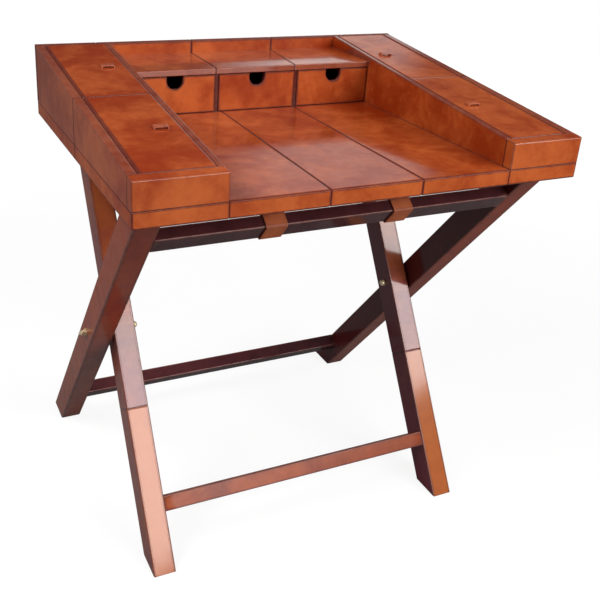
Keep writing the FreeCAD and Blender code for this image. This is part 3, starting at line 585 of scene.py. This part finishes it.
def coverDeskBoard():
    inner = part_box("inner_wall_right")[0].x
    rear = shelfLow.y + fieldSeams["underShelf"]
    rimFront = topFront + fieldSeams["rim"]
    rimSide = boardHigh.x - fieldSeams["rim"]
    skin = surface - fieldSeams["skin"]
    seams = []
    for frontX, rearX in zip(fieldSeams["frontX"], fieldSeams["rearX"]):
        long = slantedSeam(frontX, rearX, topFront, shelfLow.y)
        seams.append((*long, lambda place: place.y < rear))
    for side in (-1, 1):
        seams.append((Vector((side * inner, topFront, 0)), (1, 0, 0), lambda place: place.y < rimFront))
    seams.append((*sideSeam(), lambda place: abs(place.x) > rimSide))
    edge = Vector((0, topFront + fieldSeams["frontEdge"], 0))
    seams.append((edge, (0, 1, 0), lambda place: place.z > skin and abs(place.x) < inner))

    front = topFront + fieldSeams["contactFrom"]
    lines = [((side * inner, front), (side * inner, shelfLow.y)) for side in (-1, 1)]
    lines.append(((-inner, shelfLow.y), (inner, shelfLow.y)))
    contacts = [[np.array([*end, surface]) for end in line] for line in lines]
    frontTone = fieldSeams["frontTone"]
    coverBoard("desk_board", seams=seams, contacts=contacts, finish=leathers["field"], front=frontTone)


gallery = {
    "frontX": (-84 * mm, 77 * mm),
    "rearX": (-78 * mm, 95 * mm),
    "outerShare": 0.7,  # of the way to the board's sides
    "frontTone": 0.2,
    "backTone": 0.6,
    "drawerTones": {"left": 0.1, "middle": 0.6, "right": 0.6},
}


def coverGallery():
    seams = []
    for frontX, rearX in zip(gallery["frontX"], gallery["rearX"]):
        seams.append(slantedSeam(frontX, rearX, shelfLow.y, shelfHigh.y))
    coverBoard("gallery_shelf", seams=seams, finish=leathers["wall"], front=gallery["frontTone"])
    outerX = [side * boardHigh.x * gallery["outerShare"] for side in (-1, 1)]
    rails = [(Vector((x, 0, 0)), (1, 0, 0)) for x in (*gallery["rearX"], *outerX)]
    coverBoard("back_board", seams=rails, finish=leathers["drawer"], front=gallery["backTone"])
    for hand, tone in gallery["drawerTones"].items():
        coverBoard(f"drawer_front_{hand}", finish=leathers["drawer"], front=tone)


boxTones = {"walls": (0.7, 1.0), "left": (0.9, 1.0), "right": (0.2, 0.5)}


def coverBoxes():
    slope = Matrix.Rotation(math.atan2(slopeAxis.z, slopeAxis.y), 4, "X")
    for hand in ("left", "right"):
        coverBoard(f"side_wall_{hand}", seams=[sideSeam()], finish=leathers["wall"])
        coverBoard(f"inner_wall_{hand}", finish=leathers["wall"], tones=boxTones["walls"])
        coverBoard(f"front_wall_{hand}", finish=leathers["wall"], front=fieldSeams["frontTone"])
        for row in ("front", "rear"):
            coverBoard(f"lid_{row}_{hand}", lean=slope, finish=leathers["lid"], tones=boxTones[hand])
            coverBoard(f"lid_pull_{row}_{hand}", lean=slope)


coverDeskBoard()
coverGallery()
coverBoxes()
print("tray top covered")


# The folding stand. Each frame's pieces are covered in a frame of their own, which stands at the pivot
# and leans with them.

stand = {
    "leans": {"outer": math.radians(39.5), "inner": math.radians(-32.5)},
    "innerSeam": -150 * mm,
    "fronts": {"outer": (0.3, 0.3, 0.3), "inner": (0.2, 0.8, -0.25)},  # over the pivot, under it, at the feet
    "fade": 90 * mm,
    # Tones of the legs' sides: lighter turned outwards, painted light, and darker turned in between the legs,
    # painted shade.
    "outwards": {"outer": 0.1, "inner": 0.6},
    "shadedInwards": 1.1,
    "sideways": 0.7,
    "barTones": (0.3, 0.3),
}
legHides = {"outer": "outer", "inner": "leg"}
# The rails and the rear stretcher take the near-black rail leather, which is painted shade.
barHides = {
    "outer": {"front_rail": "rail", "rear_stretcher": "rail"},
    "inner": {"rear_rail": "rail", "front_stretcher": "bar"},
}
strapFrames = {
    "front_strap_left": "outer",
    "front_strap_right": "outer",
    "rear_strap_left": "inner",
    "rear_strap_right": "inner",
}


def leaningFrame(kind):
    return Matrix.Translation(joints["frame_fold"]["pos_m"]) @ Matrix.Rotation(stand["leans"][kind], 4, "X")


# The legs' sides turned outwards take lighter tones than those turned in between the legs, which are
# darkened: painted light and painted shade. The fronts fade into another tone at the pivot, and the
# inner legs have a third one under their seam.
def legTone(kind, outside):
    overPivot, underPivot, atFeet = stand["fronts"][kind]

    def tone(centre, normal):
        if abs(normal.x) > stand["sideways"]:
            return stand["outwards"][kind] if normal.x * outside > 0 else stand["shadedInwards"]
        if centre.z < stand["innerSeam"]:
            return atFeet
        share = min(max(centre.z / stand["fade"] + 0.5, 0.0), 1.0)
        return underPivot + (overPivot - underPivot) * share

    return tone


def coverStand():
    for kind, bars in barHides.items():
        leaning = leaningFrame(kind)
        seams = [(Vector((0, 0, stand["innerSeam"])), (0, 0, 1))] if kind == "inner" else []
        finish = leathers[legHides[kind]]
        for hand, outside in (("left", -1), ("right", 1)):
            tone = legTone(kind, outside)
            coverBoard(f"{kind}_leg_{hand}", lean=leaning, seams=seams, finish=finish, tone=tone)
        for bar, hide in bars.items():
            coverBoard(bar, lean=leaning, finish=leathers[hide], tones=stand["barTones"])
    for node, kind in strapFrames.items():
        coverBoard(node, lean=leaningFrame(kind))


coverStand()
print("stand covered")


# Stitches: saddle stitches along both edges of the legs' front and back faces and of the straps.

stitching = {
    "legInset": 1.8 * mm,
    "strapInset": 3.0 * mm,
    "pitch": 4.6 * mm,
    "length": 3.1 * mm,
    "thread": 0.42 * mm,
    "uneven": (0.86, 1.08),
    "sides": 6,
    "rings": 4,
    "seed": 11,
    "squarely": 0.9995,  # how squarely an outermost face has to look outwards
    "level": 0.05 * mm,
}


def makeStitchTree():
    tree = bpy.data.node_groups.new("stitchRow", "GeometryNodeTree")
    tree.interface.new_socket("Path", in_out="INPUT", socket_type="NodeSocketGeometry")
    for name in ("Pitch", "Length", "Thread"):
        tree.interface.new_socket(name, in_out="INPUT", socket_type="NodeSocketFloat")
    tree.interface.new_socket("Seed", in_out="INPUT", socket_type="NodeSocketInt")
    tree.interface.new_socket("Material", in_out="INPUT", socket_type="NodeSocketMaterial")
    tree.interface.new_socket("Stitches", in_out="OUTPUT", socket_type="NodeSocketGeometry")
    given = tree.nodes.new("NodeGroupInput").outputs
    curve = addNode(tree, "GeometryNodeMeshToCurve", Mesh=given["Path"])
    row = addNode(
        tree, "GeometryNodeResampleCurve", {"mode": "LENGTH"}, Curve=curve.outputs[0], Length=given["Pitch"]
    )
    sides, rings = stitching["sides"], stitching["rings"]
    ball = addNode(tree, "GeometryNodeMeshUVSphere", Segments=sides, Rings=rings, Radius=1.0)
    tangent = tree.nodes.new("GeometryNodeInputTangent")
    turn = addNode(tree, "FunctionNodeAlignRotationToVector", {"axis": "X"}, Vector=tangent.outputs[0])
    least, most = stitching["uneven"]
    uneven = addNode(tree, "FunctionNodeRandomValue", i2=least, i3=most, Seed=given["Seed"])
    halfLength = calc(tree, "MULTIPLY", given["Length"], calc(tree, "MULTIPLY", uneven.outputs[1], 0.5))
    size = addNode(tree, "ShaderNodeCombineXYZ", X=halfLength, Y=given["Thread"], Z=given["Thread"])
    laid = addNode(
        tree,
        "GeometryNodeInstanceOnPoints",
        Points=row.outputs[0],
        Instance=ball.outputs["Mesh"],
        Rotation=turn.outputs[0],
        Scale=size.outputs[0],
    )
    solid = addNode(tree, "GeometryNodeRealizeInstances", Geometry=laid.outputs[0])
    smooth = addNode(tree, "GeometryNodeSetShadeSmooth", Geometry=solid.outputs[0])
    dressed = addNode(tree, "GeometryNodeSetMaterial", Geometry=smooth.outputs[0], Material=given["Material"])
    result = tree.nodes.new("NodeGroupOutput")
    tree.links.new(dressed.outputs[0], result.inputs[0])
    return tree


# The rectangle of a board's outermost flat face on the given side, in the board's own frame.
def flatFace(node, leaning, side):
    back = leaning.inverted()
    mesh = frame["nodes"][node].data
    corners = []
    for face in mesh.polygons:
        if (back.to_3x3() @ face.normal).y * side > stitching["squarely"]:
            corners += [back @ mesh.vertices[index].co for index in face.vertices]
    outermost = max(corner.y * side for corner in corners)
    corners = [corner for corner in corners if corner.y * side > outermost - stitching["level"]]
    lows = [min(corner[axis] for corner in corners) for axis in range(3)]
    highs = [max(corner[axis] for corner in corners) for axis in range(3)]
    return lows, highs


def stitchEdges(node, leaning, sides, inset, tree):
    places, edges = [], []
    for side in sides:
        lows, highs = flatFace(node, leaning, side)
        for x in (lows[0] + inset, highs[0] - inset):
            for z in (lows[2] + 2 * inset, highs[2] - 2 * inset):
                places.append(leaning @ Vector((x, highs[1], z)))
            edges.append((len(places) - 2, len(places) - 1))
    mesh = bpy.data.meshes.new(f"{node}Stitches")
    mesh.from_pydata(places, edges, [])
    piece = bpy.data.objects.new(f"{node}_stitches", mesh)
    scene.collection.objects.link(piece)
    modifier = piece.modifiers.new("stitches", "NODES")
    modifier.node_group = tree
    values = {
        "Pitch": stitching["pitch"],
        "Length": stitching["length"],
        "Thread": stitching["thread"],
        "Seed": stitching["seed"],
        "Material": waxedThread,
    }
    for item in tree.interface.items_tree:
        if item.in_out == "INPUT" and item.name in values:
            modifier[item.identifier] = values[item.name]
    applyModifiers(piece)
    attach(piece, bodyOfNode[node])


def layStitches():
    tree = makeStitchTree()
    for kind in legHides:
        for hand in ("left", "right"):
            stitchEdges(f"{kind}_leg_{hand}", leaningFrame(kind), (-1, 1), stitching["legInset"], tree)
    for node, kind in strapFrames.items():
        outwards = -1 if kind == "outer" else 1
        stitchEdges(node, leaningFrame(kind), (outwards,), stitching["strapInset"], tree)


layStitches()
print("stitches laid")


# The room: a pale floor, a dim world with a window low behind the desk, two soft lamps and the camera.

floorPaper = {
    "tint": (0.16, 0.17),
    "speck": 3.0,
    "speckRange": (0.3, 0.7),
    "rough": 0.9,
    "specular": 0.1,
    "glow": (0.87, 0.95),
    "glowFrom": (0.9, 3.0),
    "glossShare": 0.03,
    "reach": 14.0,
}


def makeFloor():
    material, tree, shader, place = newMaterial("floorPaper")
    speck = noiseAt(tree, place, floorPaper["speck"])
    tint = spread(tree, speck, *floorPaper["speckRange"], *floorPaper["tint"])
    rays = addNode(tree, "ShaderNodeLightPath").outputs
    away = addNode(tree, "ShaderNodeVectorMath", {"operation": "LENGTH"}, i0=place).outputs["Value"]
    glow = spread(tree, away, *floorPaper["glowFrom"], *floorPaper["glow"])
    seen = calc(tree, "MAXIMUM", rays["Is Camera Ray"], rays["Is Transmission Ray"])
    mirrored = calc(tree, "MULTIPLY", rays["Is Glossy Ray"], floorPaper["glossShare"])
    values = {
        "Base Color": addNode(tree, "ShaderNodeCombineColor", Red=tint, Green=tint, Blue=tint).outputs[0],
        "Roughness": floorPaper["rough"],
        "Specular IOR Level": floorPaper["specular"],
        "Emission Color": (1, 1, 1, 1),
        "Emission Strength": calc(tree, "MAXIMUM", calc(tree, "MULTIPLY", seen, glow), mirrored),
    }
    fillSockets(tree, shader, values)
    reach = floorPaper["reach"]
    corners = [(-reach, -reach, 0), (reach, -reach, 0), (reach, reach, 0), (-reach, reach, 0)]
    mesh = bpy.data.meshes.new("floor")
    mesh.from_pydata(corners, [], [(0, 1, 2, 3)])
    mesh.materials.append(material)
    floor = bpy.data.objects.new("floor", mesh)
    scene.collection.objects.link(floor)


studio = {
    "soft": (0.05, 0.36),
    "softFrom": (-0.05, 0.6),  # heights here are parts of a direction's length
    "paper": 0.30,
    "dark": 0.05,
    "paperTop": (0.04, 0.16),
    "window": 0.92,
    "windowFrom": (math.radians(20), math.radians(28)),
    "windowTo": (math.radians(35.5), math.radians(39)),
    "windowTop": (0.345, 0.40),
}


# White paper all round low down and a bright window to the right behind the desk, in a dim room.
def makeWorld():
    world = bpy.data.worlds.new("studio")
    world.use_nodes = True
    scene.world = world
    tree = world.node_tree
    tree.nodes.clear()
    aim = addNode(tree, "ShaderNodeTexCoord").outputs["Generated"]
    split = addNode(tree, "ShaderNodeSeparateXYZ", Vector=aim).outputs
    height = split["Z"]
    bearing = calc(tree, "ARCTAN2", split["X"], split["Y"])
    fromLeft = spread(tree, bearing, *studio["windowFrom"])
    fromRight = spread(tree, bearing, *studio["windowTo"], 1.0, 0.0)
    belowTop = spread(tree, height, *studio["windowTop"], studio["window"], 0.0)
    window = calc(tree, "MULTIPLY", calc(tree, "MULTIPLY", fromLeft, fromRight), belowTop)
    paper = spread(tree, height, *studio["paperTop"], studio["paper"], studio["dark"])
    mirrored = calc(tree, "MAXIMUM", paper, window)
    soft = spread(tree, height, *studio["softFrom"], *studio["soft"])
    rays = addNode(tree, "ShaderNodeLightPath").outputs
    seen = calc(tree, "MAXIMUM", rays["Is Camera Ray"], rays["Is Transmission Ray"])
    fromGloss = calc(tree, "MULTIPLY", calc(tree, "SUBTRACT", mirrored, soft), rays["Is Glossy Ray"])
    strength = calc(tree, "MAXIMUM", calc(tree, "ADD", soft, fromGloss), seen)
    back = addNode(tree, "ShaderNodeBackground", Color=(1, 1, 1, 1), Strength=strength)
    output = tree.nodes.new("ShaderNodeOutputWorld")
    tree.links.new(back.outputs[0], output.inputs["Surface"])


lamps = {
    "key": {"place": (1.0, -2.4, 1.8), "turn": (-0.81, 0.59, 0.0), "size": (2.4, 1.6), "power": 84},
    "high": {"place": (-2.1, -0.4, 2.6), "turn": (0.72, 0.13, -0.68), "size": (1.3, 1.3), "power": 48},
}


def makeLamps():
    for name, lamp in lamps.items():
        light = bpy.data.lights.new(name, "AREA")
        light.shape = "RECTANGLE"
        light.size, light.size_y = lamp["size"]
        light.energy = lamp["power"]
        holder = bpy.data.objects.new(name, light)
        holder.location = lamp["place"]
        holder.rotation_mode = "QUATERNION"
        holder.rotation_quaternion = Vector(lamp["turn"]).to_track_quat("-Z", "Y")
        scene.collection.objects.link(holder)


view = {
    "place": (-676.06 * mm, -992.37 * mm, 1141.82 * mm),
    "yaw": math.radians(25.302),
    "down": math.radians(23.909),
    "roll": math.radians(2.945),
    "lens": 50.98,
    "sensor": 36.0,
    "shiftX": 0.0833,
    "shiftY": -0.0833,
    "nearest": 0.05,
    "farthest": 60.0,
}


# The place is measured from the middle of the top's front edge, at the floor.
def makeCamera():
    camera = bpy.data.cameras.new("camera")
    camera.sensor_width = view["sensor"]
    camera.lens = view["lens"]
    camera.shift_x, camera.shift_y = view["shiftX"], view["shiftY"]
    camera.clip_start, camera.clip_end = view["nearest"], view["farthest"]
    yaw, down, roll = view["yaw"], view["down"], view["roll"]
    forward = Vector((math.sin(yaw) * math.cos(down), math.cos(yaw) * math.cos(down), -math.sin(down)))
    right = Vector((math.cos(yaw), -math.sin(yaw), 0))
    up = right.cross(forward)
    imageRight = right * math.cos(roll) + up * math.sin(roll)
    imageUp = up * math.cos(roll) - right * math.sin(roll)
    holder = bpy.data.objects.new("camera", camera)
    turn = Matrix((imageRight, imageUp, -forward)).transposed().to_4x4()
    holder.matrix_world = Matrix.Translation(Vector(view["place"]) + Vector((0, topFront, 0))) @ turn
    scene.collection.objects.link(holder)
    scene.camera = holder


makeFloor()
makeWorld()
makeLamps()
makeCamera()
scene.view_settings.view_transform = "Standard"
print("room made")
